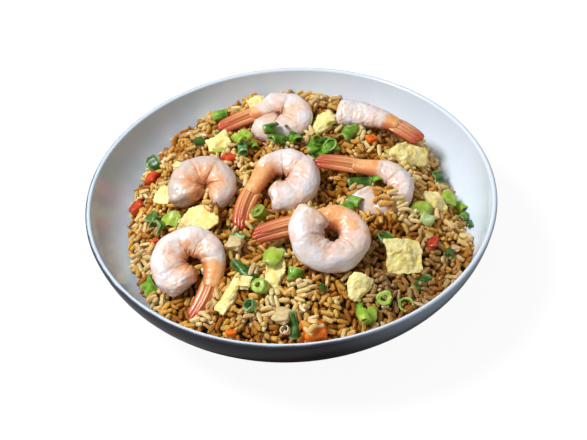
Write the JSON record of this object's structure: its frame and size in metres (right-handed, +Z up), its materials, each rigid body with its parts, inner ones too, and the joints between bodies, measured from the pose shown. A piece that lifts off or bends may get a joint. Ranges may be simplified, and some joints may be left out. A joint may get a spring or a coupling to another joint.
{
  "type": "bowl of shrimp fried rice",
  "caption": "Shrimp fried rice in a shallow round bowl: loose browned rice with curled shrimps, torn egg, cut scallion greens and diced vegetables.",
  "frame": {"origin": "bottom centre of the bowl's foot, on the surface it stands on", "axes": "+Z up, +Y towards the back of the dish as served, +X to the right"},
  "size_m": [0.265, 0.265, 0.0875],
  "materials": {
    "bowl": "glossy glaze, bluish white inside and dark charcoal outside",
    "rice": "browned rice grains with a slight oily sheen",
    "shrimp": "moist pinkish white flesh with orange tail shells",
    "egg": "soft crumbly scrambled egg",
    "scallion": "moist green leaf",
    "carrot": "cooked carrot",
    "pepper": "cooked red pepper"
  },
  "bodies": {
    "root": {"bowl": "bowl", "rice_heap": "rice", "shrimp_back": "shrimp", "shrimp_back_right": "shrimp", "shrimp_left": "shrimp", "shrimp_middle": "shrimp", "shrimp_right": "shrimp", "shrimp_front": "shrimp", "shrimp_front_left": "shrimp", "egg_back": "egg", "egg_back_middle": "egg", "egg_back_left": "egg", "egg_left": "egg", "egg_middle_left": "egg", "egg_back_right": "egg", "egg_right": "egg", "egg_front_right": "egg", "egg_front": "egg", "egg_front_middle": "egg", "egg_front_left": "egg", "scallion_01": "scallion", "scallion_02": "scallion", "scallion_03": "scallion", "scallion_04": "scallion", "scallion_05": "scallion", "scallion_06": "scallion", "scallion_07": "scallion", "scallion_08": "scallion", "scallion_09": "scallion", "scallion_10": "scallion", "scallion_11": "scallion", "scallion_12": "scallion", "scallion_13": "scallion", "scallion_14": "scallion", "scallion_15": "scallion", "scallion_16": "scallion", "scallion_17": "scallion", "scallion_18": "scallion", "scallion_19": "scallion", "scallion_20": "scallion", "scallion_21": "scallion", "scallion_22": "scallion", "scallion_23": "scallion", "scallion_24": "scallion", "scallion_25": "scallion", "scallion_26": "scallion", "scallion_27": "scallion", "scallion_28": "scallion", "scallion_29": "scallion", "carrot_dice": "carrot", "pepper_dice_left": "pepper", "pepper_dice_back": "pepper", "pepper_dice_middle": "pepper"}
  },
  "joints": []
}
